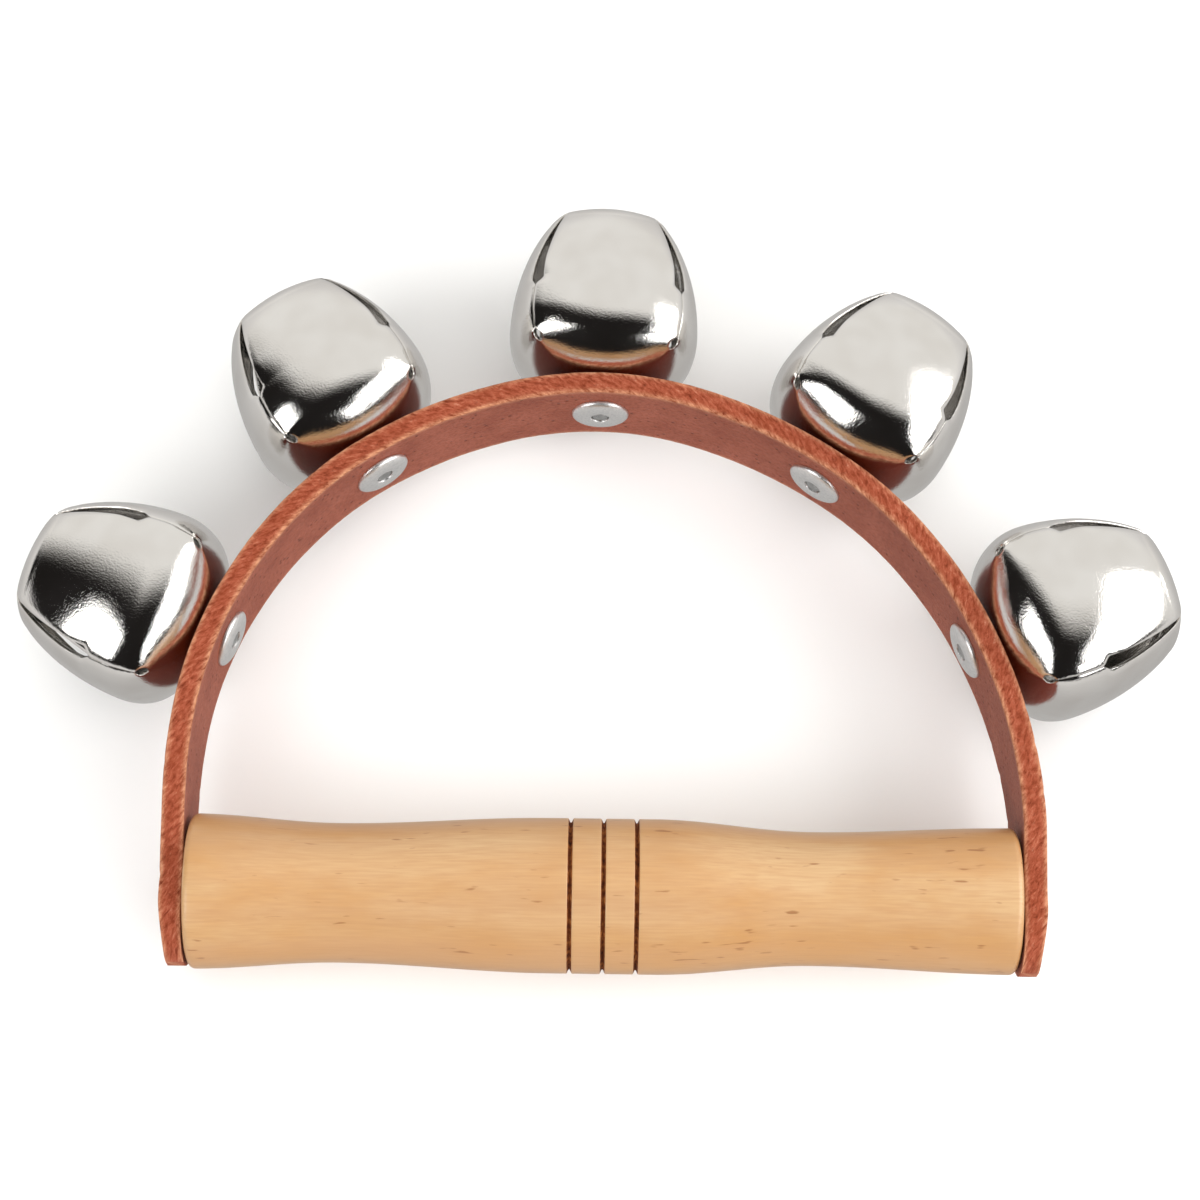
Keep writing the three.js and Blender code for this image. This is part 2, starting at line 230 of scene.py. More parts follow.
def maple():
    """Maple, turned, sanded and lacquered: pale and close-grained, with long faint growth lines, short brown
    flecks where rays and pores are cut, and a soft sheen."""
    made, tree = new_material("turned_maple", IOR=1.5, Specular_IOR_Level=0.45, Coat_Weight=0.55,
                              Coat_Roughness=0.28)
    place = add(tree, "TexCoord", out="Object")
    centred = add(tree, "Mapping", {"Vector": place, "Location": tuple(-c for c in GRIP_CENTRE)})
    long_2 = add(tree, "Mapping", {"Vector": centred, "Scale": (0.5, 1, 1)})
    long_5 = add(tree, "Mapping", {"Vector": centred, "Scale": (0.2, 1, 1)})
    long_8 = add(tree, "Mapping", {"Vector": centred, "Scale": (0.12, 1, 1)})
    long_20 = add(tree, "Mapping", {"Vector": centred, "Scale": (0.05, 1, 1)})
    # growth lines: the blank was sawn well off the heart of the tree, whose axis lies outside the grip
    heart = add(tree, "Mapping", {"Vector": centred, "Scale": (0.045, 1, 1), "Location": (0, 0.021, -0.031)})
    growth = add(tree, "TexWave", {"Vector": heart, "Scale": per_mm(47), "Distortion": 9.0, "Detail": 3.0,
                                   "Detail Scale": 1.4, "Detail Roughness": 0.55},
                 out="Fac", wave_type="RINGS", rings_direction="X")
    sway = add(tree, "TexNoise", {"Vector": long_8, "Scale": per_mm(9), "Detail": 2.0})
    colour = add(tree, "ValToRGB", {"Fac": sway},
                 stops=((0.28, "#b99065"), (0.5, "#c39c6e"), (0.72, "#c7a97e")))
    lines = add(tree, "MapRange", {"Value": growth, "From Min": 0.1, "From Max": 0.95, "To Max": 0.7})
    colour = add(tree, "MixRGB", {"Fac": lines, "Color1": colour, "Color2": "#b28150"})
    blotch = add(tree, "TexNoise", {"Vector": long_2, "Scale": per_mm(11), "Detail": 4.0, "Roughness": 0.6})
    blotch = add(tree, "MapRange", {"Value": blotch, "From Min": 0.44, "From Max": 0.66, "To Max": 0.75})
    colour = add(tree, "MixRGB", {"Fac": blotch, "Color1": colour, "Color2": "#b7854c"})
    fibre = add(tree, "TexNoise", {"Vector": long_20, "Scale": per_mm(0.32), "Detail": 3.0})
    streak = add(tree, "MapRange", {"Value": fibre, "From Min": 0.35, "From Max": 0.7, "To Max": 0.5})
    colour = add(tree, "MixRGB", {"Fac": streak, "Color1": colour, "Color2": "#af8154"})
    # flecks are about 0.15 mm wide; drawn at 0.3 mm so that they show
    fleck = add(tree, "TexNoise", {"Vector": long_5, "Scale": per_mm(0.75), "Detail": 1.0})
    region = add(tree, "TexNoise", {"Vector": long_2, "Scale": per_mm(7), "Detail": 1.0})
    region = add(tree, "MapRange", {"Value": region, "From Min": 0.35, "From Max": 0.75, "To Min": -0.08,
                                    "To Max": 0.07})
    fleck = add(tree, "Math", {0: fleck, 1: region}, operation="ADD")
    fleck = add(tree, "MapRange", {"Value": fleck, "From Min": 0.68, "From Max": 0.75, "To Max": 0.75})
    colour = add(tree, "MixRGB", {"Fac": fleck, "Color1": colour, "Color2": "#895526"})
    roughness = add(tree, "MapRange", {"Value": fibre, "From Min": 0.2, "From Max": 0.8, "To Min": 0.36,
                                       "To Max": 0.5})
    normal = add(tree, "Bump", {"Height": fibre, "Strength": 0.22, "Distance": 0.05 * MM})
    finish_material(tree, colour, roughness, normal)
    return made


def groove_shade():
    """Painted shade for the bottom of the grip's grooves: maple coloured dark brown, matt and uneven."""
    made, tree = new_material("maple_painted_groove_shade", IOR=1.5, Specular_IOR_Level=0.2)
    place = add(tree, "TexCoord", out="Object")
    mottle = add(tree, "TexNoise", {"Vector": place, "Scale": per_mm(0.9), "Detail": 3.0})
    colour = add(tree, "ValToRGB", {"Fac": mottle},
                 stops=((0.3, "#3a190b"), (0.5, "#6a3517"), (0.7, "#9c6030")))
    roughness = add(tree, "MapRange", {"Value": mottle, "To Min": 0.7, "To Max": 0.9})
    normal = add(tree, "Bump", {"Height": mottle, "Strength": 0.4, "Distance": 0.1 * MM})
    finish_material(tree, colour, roughness, normal)
    return made


def leather():
    """Vegetable-tanned hide, red-brown: the inner face is smooth with fine pores, the outer one is the
    polished grain side, painted much darker as the shade that the bells throw on it, and the knife-cut rim is
    raw, with slanting peach-coloured fibres, darker pits and a pale frayed line along each corner."""
    made, tree = new_material("vegetable_tanned_leather", IOR=1.45, Specular_IOR_Level=0.24,
                              Sheen_Weight=0.05, Sheen_Roughness=0.5, Sheen_Tint="#d9a48c")
    place = add(tree, "TexCoord", out="Object")
    strip = add(tree, "Attribute", attribute_name="along_and_around", out="Vector")
    rim = add(tree, "Attribute", attribute_name="rim", out="Fac")
    fray = add(tree, "Attribute", attribute_name="fray", out="Fac")
    outside = add(tree, "Attribute", attribute_name="outside", out="Fac")
    # faces
    cloud = add(tree, "TexNoise", {"Vector": place, "Scale": per_mm(6), "Detail": 4.0, "Roughness": 0.6})
    face = add(tree, "ValToRGB", {"Fac": cloud},
               stops=((0.3, "#844332"), (0.5, "#904f3c"), (0.72, "#9c5845")))
    skin = add(tree, "TexNoise", {"Vector": place, "Scale": per_mm(0.55), "Detail": 4.0, "Roughness": 0.65})
    shade = add(tree, "MapRange", {"Value": skin, "From Min": 0.42, "From Max": 0.7, "To Max": 0.75})
    face = add(tree, "MixRGB", {"Fac": shade, "Color1": face, "Color2": "#723728"})
    cells = add(tree, "TexVoronoi", {"Vector": place, "Scale": per_mm(1.5)}, out="Distance")
    pore = add(tree, "MapRange", {"Value": cells, "From Min": 0.08, "From Max": 0.2, "To Min": 0.8,
                                  "To Max": 0.0})
    face = add(tree, "MixRGB", {"Fac": pore, "Color1": face, "Color2": "#532317"})
    # the outer face: the grain side, painted much darker as the shade from the bells over it
    grain_side_and_shade = add(tree, "MixRGB", {"Fac": cloud, "Color1": "#4a1204", "Color2": "#7a280c"})
    face = add(tree, "MixRGB", {"Fac": outside, "Color1": face, "Color2": grain_side_and_shade})
    # rim: fibres run mostly along the strip, pulled up in tufts by the knife
    slanting = add(tree, "Mapping", {"Vector": strip, "Rotation": (0, 0, math.radians(32))})
    slanting = add(tree, "Mapping", {"Vector": slanting, "Scale": (0.4, 1, 1)})
    fibres = add(tree, "TexNoise", {"Vector": slanting, "Scale": per_mm(0.55), "Detail": 6.0,
                                    "Roughness": 0.74, "Distortion": 0.4})
    tufts = add(tree, "TexNoise", {"Vector": slanting, "Scale": per_mm(2.4), "Detail": 3.0, "Roughness": 0.6})
    cut = add(tree, "ValToRGB", {"Fac": fibres},
              stops=((0.3, "#61240e"), (0.44, "#873d25"), (0.54, "#9c4e36"), (0.64, "#ac6349"),
                     (0.76, "#d0997f")))
    tufts = add(tree, "MapRange", {"Value": tufts, "From Min": 0.48, "From Max": 0.72, "To Max": 0.45})
    cut = add(tree, "MixRGB", {"Fac": tufts, "Color1": cut, "Color2": "#7c3317"})
    colour = add(tree, "MixRGB", {"Fac": rim, "Color1": face, "Color2": cut})
    ragged = add(tree, "MapRange", {"Value": fibres, "From Min": 0.35, "From Max": 0.62, "To Max": 0.75})
    ragged = add(tree, "Math", {0: fray, 1: ragged}, operation="MULTIPLY")
    colour = add(tree, "MixRGB", {"Fac": ragged, "Color1": colour, "Color2": "#d7a27c"})
    roughness = add(tree, "MapRange", {"Value": rim, "To Min": 0.56, "To Max": 0.84})
    roughness = add(tree, "Math", {0: outside, 1: -0.16, 2: roughness}, operation="MULTIPLY_ADD")
    relief = add(tree, "MixRGB", {"Fac": rim, "Color1": skin, "Color2": fibres})
    relief = add(tree, "Math", {0: relief, 1: pore}, operation="SUBTRACT")
    normal = add(tree, "Bump", {"Height": relief, "Strength": 0.75, "Distance": 0.2 * MM})
    finish_material(tree, colour, roughness, normal)
    return made


def nickel():
    """Bright nickel plate on pressed sheet steel: a warm mirror with the faint orange-peel of the rolled
    sheet, which softens and breaks the edges of what it reflects."""
    made, tree = new_material("nickel_plate", Metallic=1.0)
    place = add(tree, "TexCoord", out="Object")
    # the sheet's grain is about 0.05 mm; drawn at 0.28 mm so that it shows
    peel = add(tree, "TexNoise", {"Vector": place, "Scale": per_mm(0.28), "Detail": 2.0, "Roughness": 0.6})
    wave = add(tree, "TexNoise", {"Vector": place, "Scale": per_mm(5), "Detail": 1.0})
    colour = add(tree, "ValToRGB", {"Fac": wave}, stops=((0.3, "#e4e1dd"), (0.7, "#ebe9e6")))
    roughness = add(tree, "MapRange", {"Value": peel, "From Min": 0.3, "From Max": 0.7, "To Min": 0.07,
                                       "To Max": 0.13})
    fine = add(tree, "Bump", {"Height": peel, "Strength": 0.8, "Distance": 0.03 * MM})
    normal = add(tree, "Bump", {"Height": wave, "Strength": 0.5, "Distance": 0.06 * MM, "Normal": fine})
    finish_material(tree, colour, roughness, normal)
    return made


def aluminium():
    """Plain aluminium, upset cold by the riveting tool: pale grey, satin, with tool scuffs."""
    made, tree = new_material("riveted_aluminium", Metallic=1.0)
    place = add(tree, "TexCoord", out="Object")
    drawn = add(tree, "Mapping", {"Vector": place, "Scale": (1, 0.3, 1)})
    scuff = add(tree, "TexNoise", {"Vector": drawn, "Scale": per_mm(0.35), "Detail": 4.0, "Roughness": 0.65})
    colour = add(tree, "ValToRGB", {"Fac": scuff}, stops=((0.25, "#dcdddd"), (0.6, "#f2f2f1")))
    roughness = add(tree, "MapRange", {"Value": scuff, "From Min": 0.25, "From Max": 0.75, "To Min": 0.34,
                                       "To Max": 0.5})
    normal = add(tree, "Bump", {"Height": scuff, "Strength": 0.4, "Distance": 0.02 * MM})
    finish_material(tree, colour, roughness, normal)
    return made


def zinc():
    """Zinc-plated steel: grey, slightly cloudy, with the dull patches of handling."""
    made, tree = new_material("zinc_plated_steel", Metallic=1.0)
    place = add(tree, "TexCoord", out="Object")
    cloud = add(tree, "TexNoise", {"Vector": place, "Scale": per_mm(0.9), "Detail": 3.0, "Roughness": 0.6})
    colour = add(tree, "ValToRGB", {"Fac": cloud}, stops=((0.3, "#a3a4a5"), (0.7, "#c2c2c0")))
    roughness = add(tree, "MapRange", {"Value": cloud, "From Min": 0.3, "From Max": 0.7, "To Min": 0.26,
                                       "To Max": 0.44})
    normal = add(tree, "Bump", {"Height": cloud, "Strength": 0.3, "Distance": 0.02 * MM})
    finish_material(tree, colour, roughness, normal)
    return made


MAPLE = maple()
GROOVE_SHADE = groove_shade()
LEATHER = leather()
NICKEL = nickel()
ALUMINIUM = aluminium()
ZINC = zinc()


# ---------------------------------------------------------------- making pieces
def settle(name, mesh_source, place, materials, sharp=35, modifiers=()):
    """Turns a bmesh in millimetres into a finished object at the origin. place is the matrix that puts the
    shape where it belongs, sharp is the angle from which an edge is shaded hard."""
    mesh_source.transform(place @ Matrix.Diagonal((MM, MM, MM, 1)))
    mesh = bpy.data.meshes.new(name)
    mesh_source.to_mesh(mesh)
    mesh_source.free()
    made = bpy.data.objects.new(name, mesh)
    bpy.context.scene.collection.objects.link(made)
    for kind, settings in modifiers:
        modifier = made.modifiers.new(kind.title(), kind)
        for key, value in settings.items():
            setattr(modifier, key, value)
    if modifiers:
        shaped = bpy.data.meshes.new_from_object(made.evaluated_get(bpy.context.evaluated_depsgraph_get()))
        made.modifiers.clear()
        made.data = shaped
        bpy.data.meshes.remove(mesh)
        made.data.name = name
    for material in materials:
        made.data.materials.append(material)
    made.data.shade_smooth()
    made.data.set_sharp_from_angle(angle=math.radians(sharp))
    return made


def spun(outline, steps):
    """A bmesh turned about Z from (radius, height) points."""
    bm = bmesh.new()
    verts = [bm.verts.new((radius, 0, height)) for radius, height in outline]
    edges = [bm.edges.new(pair) for pair in zip(verts, verts[1:])]
    bmesh.ops.spin(bm, geom=verts + edges, cent=(0, 0, 0), axis=(0, 0, 1), angle=2 * math.pi, steps=steps,
                   use_merge=True, use_duplicate=False)
    bmesh.ops.remove_doubles(bm, verts=bm.verts, dist=1e-4)
    bmesh.ops.recalc_face_normals(bm, faces=bm.faces)
    return bm


def ease(start, end, share):
    """From start to end with a level stretch at each."""
    return start + (end - start) * (1 - math.cos(math.pi * share)) / 2


def smooth(low, high, value):
    """0 before low, 1 past high, and an S curve between them."""
    t = min(max((value - low) / (high - low), 0), 1)
    return t * t * (3 - 2 * t)


# ---------------------------------------------------------------- the arch that the strap follows
def hand_bend(share):
    """The strip's stand-off from a half ellipse, a smooth curve through HAND_BEND."""
    steps = len(HAND_BEND) - 1
    place = min(max(share, 0), 1) * steps
    i = min(int(place), steps - 1)
    t = place - i
    p0, p1, p2, p3 = (HAND_BEND[min(max(i + k, 0), steps)] for k in (-1, 0, 1, 2))
    start_slope = (p2 - p0) / 2
    end_slope = (p3 - p1) / 2
    cubic = 2 * p1 - 2 * p2 + start_slope + end_slope
    square = -3 * p1 + 3 * p2 - 2 * start_slope - end_slope
    return cubic * t ** 3 + square * t ** 2 + start_slope * t + p1


def arch_point(angle):
    """The strip's inner face at an angle, from the grip's middle."""
    bend = hand_bend(angle / math.pi)
    across = (LEG_FACE + LEG_SPREAD + bend) * math.cos(angle)
    return Vector((across, SPRING_HEIGHT + (ARCH_RISE + bend) * math.sin(angle), 0))


def arch_outward(angle):
    """The direction square to the arch and away from the grip."""
    nudge = 1e-4
    ahead = arch_point(min(angle + nudge, math.pi))
    behind = arch_point(max(angle - nudge, 0))
    return Vector((ahead.y - behind.y, behind.x - ahead.x, 0)).normalized()


def arch_table():
    """Lengths along the arch at small equal steps of angle."""
    steps = 2000
    lengths = [0.0]
    for i in range(1, steps + 1):
        here = arch_point(math.pi * i / steps)
        before = arch_point(math.pi * (i - 1) / steps)
        lengths.append(lengths[-1] + (here - before).length)
    return lengths


ARCH_LENGTHS = arch_table()
ARCH_LENGTH = ARCH_LENGTHS[-1]
STRAP_LENGTH = 2 * (TAIL_LENGTH + SPRING_HEIGHT) + ARCH_LENGTH


def angle_at(length):
    """The arch's angle at a length along it, from the right."""
    low, high = 0, len(ARCH_LENGTHS) - 1
    while high - low > 1:
        middle = (low + high) // 2
        if ARCH_LENGTHS[middle] > length:
            high = middle
        else:
            low = middle
    share = (length - ARCH_LENGTHS[low]) / (ARCH_LENGTHS[high] - ARCH_LENGTHS[low])
    return math.pi * (low + min(max(share, 0), 1)) / (len(ARCH_LENGTHS) - 1)


def basis(x, y, z, origin):
    """A matrix from three directions and an origin in metres."""
    made = Matrix((x, y, z)).transposed().to_4x4()
    made.translation = origin
    return made


def station(number):
    """The place of a rivet: Z out of the strap, Y across its width, the origin on its inner face."""
    along = ARCH_LENGTH / 2 + ((BELLS - 1) / 2 - number) * BELL_PITCH
    angle = angle_at(along)
    out = arch_outward(angle)
    up = Vector((0, 0, 1))
    return basis(up.cross(out), up, out, GRIP_CENTRE + arch_point(angle) * MM)


# ---------------------------------------------------------------- grip
def grip_radius(x):
    """End, waist, land, waist, end, eased into each other."""
    if x < -LEFT_WAIST_OFFSET:
        return ease(LEFT_END_RADIUS, LEFT_WAIST_RADIUS, (x + GRIP_HALF) / (GRIP_HALF - LEFT_WAIST_OFFSET))
    if x < -LAND_HALF_LENGTH:
        share = (x + LEFT_WAIST_OFFSET) / (LEFT_WAIST_OFFSET - LAND_HALF_LENGTH)
        return ease(LEFT_WAIST_RADIUS, LAND_RADIUS, share)
    if x < LAND_HALF_LENGTH:
        return LAND_RADIUS
    if x < RIGHT_WAIST_OFFSET:
        share = (x - LAND_HALF_LENGTH) / (RIGHT_WAIST_OFFSET - LAND_HALF_LENGTH)
        return ease(LAND_RADIUS, RIGHT_WAIST_RADIUS, share)
    share = (x - RIGHT_WAIST_OFFSET) / (GRIP_HALF - RIGHT_WAIST_OFFSET)
    return ease(RIGHT_WAIST_RADIUS, RIGHT_END_RADIUS, share)


def make_grip():
    """Spun about X, with rounded ends, a blind bore in each and three grooves, their bottoms painted dark
    brown as shade.
    """
    arc = [math.radians(a) for a in range(0, 91, 15)]
    grooves = (-GROOVE_PITCH, 0, GROOVE_PITCH)
    points = []
    for x in (half / 2 for half in range(3 - 2 * int(GRIP_HALF), 2 * int(GRIP_HALF) - 2)):
        if all(abs(x - groove) > GROOVE_WIDTH / 2 + 0.2 for groove in grooves):
            points.append((x, grip_radius(x)))
    for groove in grooves:
        for shift, sink in GROOVE_OUTLINE:
            for side in ((-1, 1) if shift else (1,)):
                x = groove + side * shift * GROOVE_WIDTH
                points.append((x, grip_radius(groove) - sink * GROOVE_DEPTH))
    bore_end = GRIP_HALF - SCREW_LENGTH
    outline = [(0.0, -bore_end), (GRIP_BORE, -bore_end), (GRIP_BORE, -GRIP_HALF)]
    outline += [(LEFT_END_RADIUS - GRIP_EDGE_ROUND * (1 - math.sin(a)),
                 -GRIP_HALF + GRIP_EDGE_ROUND * (1 - math.cos(a))) for a in arc]
    outline += [(radius, x) for x, radius in sorted(points)]
    outline += [(RIGHT_END_RADIUS - GRIP_EDGE_ROUND * (1 - math.sin(a)),
                 GRIP_HALF - GRIP_EDGE_ROUND * (1 - math.cos(a))) for a in reversed(arc)]
    outline += [(GRIP_BORE, GRIP_HALF), (GRIP_BORE, bore_end), (0.0, bore_end)]
    bm = spun(outline, GRIP_STEPS)
    for face in bm.faces:
        middle = face.calc_center_median()
        # the faces near a groove's bottom get the painted shade
        in_groove = any(abs(middle.z - groove) < GROOVE_SHADE_SHARE * GROOVE_WIDTH for groove in grooves)
        face.material_index = 1 if in_groove and middle.xy.length > GRIP_BORE + 1 else 0
    turn = Matrix.Translation(GRIP_CENTRE) @ Matrix.Rotation(math.pi / 2, 4, "Y")
    grip = settle("grip", bm, turn, [MAPLE, GROOVE_SHADE], sharp=50)
    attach(grip, "frame")
    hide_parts("handle")


# ---------------------------------------------------------------- strap
def strap_ring():
    """The strip's section as (across, through) points: a flat bar with small round corners."""
    half = STRAP_WIDTH / 2
    top = STRAP_THICKNESS
    r = STRAP_EDGE_ROUND

    def corner(across, through, start):
        turns = [math.radians(start - 30 * k) for k in range(3)]
        return [(across + r * math.cos(turn), through + r * math.sin(turn)) for turn in turns]

    face = STRAP_WIDTH - 2 * r
    rim = top - 2 * r
    points = [(-half + r + face * k / FACE_STEPS, top) for k in range(FACE_STEPS)]
    points += corner(half - r, top - r, 90)
    points += [(half, top - r - rim * k / RIM_STEPS) for k in range(RIM_STEPS)]
    points += corner(half - r, r, 0)
    points += [(half - r - face * k / FACE_STEPS, 0) for k in range(FACE_STEPS)]
    points += corner(-half + r, r, -90)
    points += [(-half, r + rim * k / RIM_STEPS) for k in range(RIM_STEPS)]
    points += corner(-half + r, top - r, 180)
    return points


def strap_frame(length):
    """The inner face and the outward direction, at a length along the strip from its right tail's tip."""
    legs = TAIL_LENGTH + SPRING_HEIGHT
    total = STRAP_LENGTH
    if length < TAIL_LENGTH:
        return Vector((LEG_FACE, length - TAIL_LENGTH, 0)), Vector((1, 0, 0))
    if length < legs:
        share = (length - TAIL_LENGTH) / SPRING_HEIGHT
        return Vector((LEG_FACE + LEG_SPREAD * share, length - TAIL_LENGTH, 0)), Vector((1, 0, 0))
    if length > total - TAIL_LENGTH:
        return Vector((-LEG_FACE, total - TAIL_LENGTH - length, 0)), Vector((-1, 0, 0))
    if length > total - legs:
        share = (total - TAIL_LENGTH - length) / SPRING_HEIGHT
        return Vector((-LEG_FACE - LEG_SPREAD * share, total - TAIL_LENGTH - length, 0)), Vector((-1, 0, 0))
    angle = angle_at(length - legs)
    return arch_point(angle), arch_outward(angle)


def crease(length):
    """How deep the creases are at a length along the strip."""
    return sum(deep * math.exp(-((length - place) / CREASE_WIDTH) ** 2) for place, deep in CREASES)


def screw_place(side):
    """At a leg of the strap, on the grip's axis, with Z outward."""
    axis = Vector((side, 0, 0))
    up = Vector((0, 0, 1))
    return basis(up.cross(axis), up, axis, GRIP_CENTRE + axis * LEG_FACE * MM)


def lay_section(ring, length, section, layers, at_tip):
    """Puts a ring of the strip in its place: narrowed by the half-round end, thinned at the tail, dented by
    the creases and roughened by noise. The layers tell the leather's material where on the strip it is."""
    half = STRAP_WIDTH / 2
    foot, out = strap_frame(length)
    edge = min(length, STRAP_LENGTH - length)
    width = math.sqrt(max(half ** 2 - (half - edge) ** 2, 0)) / half if edge < half else 1.0
    skive = 1 - TAIL_SKIVE * smooth(0.8 * TAIL_LENGTH, 0, edge)
    sunk = crease(length)
    around = 0.0
    previous = section[-1]
    for vert, (across, through) in zip(ring, section):
        around += math.hypot(across - previous[0], through - previous[1])
        previous = (across, through)
        side = math.copysign(1, across)
        on_rim = at_tip or abs(across) > half - 0.6 * STRAP_EDGE_ROUND
        corner = math.hypot(half - abs(across), min(through, STRAP_THICKNESS - through))
        vert[layers["along_and_around"]] = Vector((length, around, 0)) * MM
        vert[layers["rim"]] = 1.0 if on_rim else 0.0
        vert[layers["fray"]] = math.exp(-(corner / FRAY_WIDTH) ** 2)
        vert[layers["outside"]] = 1.0 if through == STRAP_THICKNESS and not at_tip else 0.0
        rough = 0.0
        if on_rim:
            spot = Vector((length / 0.9, through / 0.6, side * 7))
            rough = RIM_COARSE * noise.noise(spot) + RIM_FINE * noise.noise(spot * 2.7)
        wander = WIDTH_WANDER * noise.noise(Vector((length / 7, side * 3, 0.5)))
        notch = sunk if abs(across) > half - 1 else 0
        across = across * width + side * (rough + wander) * width - side * notch
        dent = sunk * 0.5 * (1 if through > 0.5 * STRAP_THICKNESS else -1)
        height = through * skive - dent
        if not on_rim:
            height += FACE_WAVE * noise.noise(Vector((length / 5, across / 5, through)))
        vert.co = foot + out * height + Vector((0, 0, across))


def make_seat(side):
    """A tool that cuts the hole and the countersink for a screw out of a leg of the strap."""
    rim = SCREW_HEAD_RADIUS + SEAT_SLACK
    outline = [(0, -0.4), (SEAT_BORE, -0.4), (SEAT_BORE, STRAP_THICKNESS - 2.1), (rim, STRAP_THICKNESS - 0.3),
               (rim, STRAP_THICKNESS + 1), (0, STRAP_THICKNESS + 1)]
    return settle("seat_tool", spun(outline, 48), screw_place(side), [LEATHER])


def make_strap():
    """One section extruded along the strip, with half-round ends and a countersunk hole in each leg."""
    section = strap_ring()
    half = STRAP_WIDTH / 2
    ends = [half * (1 - math.cos(math.radians(angle))) for angle in TIP_ANGLES]
    straight = STRAP_LENGTH - 2 * half
    steps = int(straight / STRAP_STEP)
    lengths = ends + [half + straight * k / steps for k in range(steps + 1)]
    lengths += [STRAP_LENGTH - end for end in reversed(ends)]
    bm = bmesh.new()
    bm.verts.layers.float_vector.new("along_and_around")
    for name in ("rim", "fray", "outside"):
        bm.verts.layers.float.new(name)
    layers = dict(bm.verts.layers.float_vector.items() + bm.verts.layers.float.items())
    ring = bmesh.ops.create_circle(bm, segments=len(section), radius=1)["verts"]
    lay_section(ring, lengths[0], section, layers, at_tip=True)
    edges = list(bm.faces.new(ring).edges)
    for i, length in enumerate(lengths[1:], 1):
        made = bmesh.ops.extrude_edge_only(bm, edges=edges)["geom"]
        new = {v for v in made if isinstance(v, bmesh.types.BMVert)}
        neighbours = [[edge.other_vert(vert) for edge in vert.link_edges] for vert in ring]
        ring = [next(vert for vert in around if vert in new) for around in neighbours]
        lay_section(ring, length, section, layers, at_tip=i == len(lengths) - 1)
        edges = [e for e in made if isinstance(e, bmesh.types.BMEdge) and all(v in new for v in e.verts)]
    bm.faces.new(ring)
    bmesh.ops.recalc_face_normals(bm, faces=bm.faces)
    tools = [make_seat(side) for side in (-1, 1)]
    seats = [("BOOLEAN", {"operation": "DIFFERENCE", "object": tool, "solver": "EXACT"}) for tool in tools]
    strap = settle("strap_hide", bm, Matrix.Translation(GRIP_CENTRE), [LEATHER], sharp=60, modifiers=seats)
    for tool in tools:
        bpy.data.objects.remove(tool)
    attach(strap, "frame")
    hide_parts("strap")


# ---------------------------------------------------------------- bells
def bezier(points, t):
    """A point of the cubic curve with those four control points."""
    s = 1 - t
    weights = (s ** 3, 3 * s * s * t, 3 * s * t * t, t ** 3)
    return tuple(sum(w * p[k] for w, p in zip(weights, points)) for k in (0, 1))


BASE_WIDTH = BELL_RADIUS - BELL_BASE_RADIUS
SIDE_HEIGHT = FOLD_HEIGHT - BELLY_HEIGHT
PETAL_BASE = [(BELL_BASE_RADIUS, 0), (BELL_BASE_RADIUS + 0.45 * BASE_WIDTH, 0),
              (BELL_RADIUS, 0.36 * BELLY_HEIGHT), (BELL_RADIUS, BELLY_HEIGHT)]
PETAL_SIDE = [(BELL_RADIUS, BELLY_HEIGHT), (BELL_RADIUS, BELLY_HEIGHT + 0.48 * SIDE_HEIGHT),
              (1.17 * FOLD_RADIUS, BELLY_HEIGHT + 0.85 * SIDE_HEIGHT), (FOLD_RADIUS, FOLD_HEIGHT)]
PETAL_TIP = [(FOLD_RADIUS, FOLD_HEIGHT), (0.9 * FOLD_RADIUS, FOLD_HEIGHT + 0.55 * TIP_RISE),
             (0.5 * FOLD_RADIUS, BELL_HEIGHT), (0, BELL_HEIGHT)]


def petal_rows():
    """(radius, height) along the middle of a petal, from the rivet hole to the tip."""
    flat = BELL_BASE_RADIUS - RIVET_HOLE
    rows = [(RIVET_HOLE + flat * k / HOLE_ROWS, 0.0) for k in range(HOLE_ROWS)]
    rows += [bezier(PETAL_BASE, k / BASE_ROWS) for k in range(BASE_ROWS)]
    rows += [bezier(PETAL_SIDE, k / SIDE_ROWS) for k in range(SIDE_ROWS)]
    tips = [bezier(PETAL_TIP, k / TIP_ROWS) for k in range(TIP_ROWS + 1)]
    rows += [point for point in tips if point[0] > TIP_END_RADIUS]
    rows.append((TIP_END_RADIUS, BELL_HEIGHT))
    return rows


def edge_gap(height):
    """How far a petal's edge stands back from the plane between it and its neighbour."""
    below = RELIEF_HEIGHT - height
    if abs(below) < RELIEF_RADIUS:
        return math.sqrt(RELIEF_RADIUS ** 2 - below ** 2)
    if height < RELIEF_HEIGHT:
        return 0.0
    if height < SLOT_BOTTOM:
        return SEAM_GAP
    if height < SLOT_TOP:
        opening = min((height - SLOT_BOTTOM) / 1.0, 1)
        share = max(height - SLOT_BOTTOM - 1, 0) / (SLOT_TOP - SLOT_BOTTOM - 1)
        return max(SEAM_GAP, opening * (SLOT_HALF_WIDTH + (TIP_GAP - SLOT_HALF_WIDTH) * share ** 1.5))
    return TIP_GAP


def petal_reach(angle):
    """A petal is flatter than a circle about the axis: how much further out the sheet lies at an angle."""
    offset = PETAL_ARC - 1
    return math.sqrt(PETAL_ARC ** 2 - (offset * math.sin(angle)) ** 2) - offset * math.cos(angle)


def edge_curl(share, height):
    """How far a petal is curled in near its edges, between the relief hole and the slot."""
    outer = max(abs(share) - 0.5, 0) / 0.5
    above = smooth(0.8 * RELIEF_HEIGHT, 1.8 * RELIEF_HEIGHT, height)
    below = 1 - smooth(SLOT_BOTTOM - 1, SLOT_BOTTOM + 5, height)
    return EDGE_ROLL * outer ** 2 * above * below


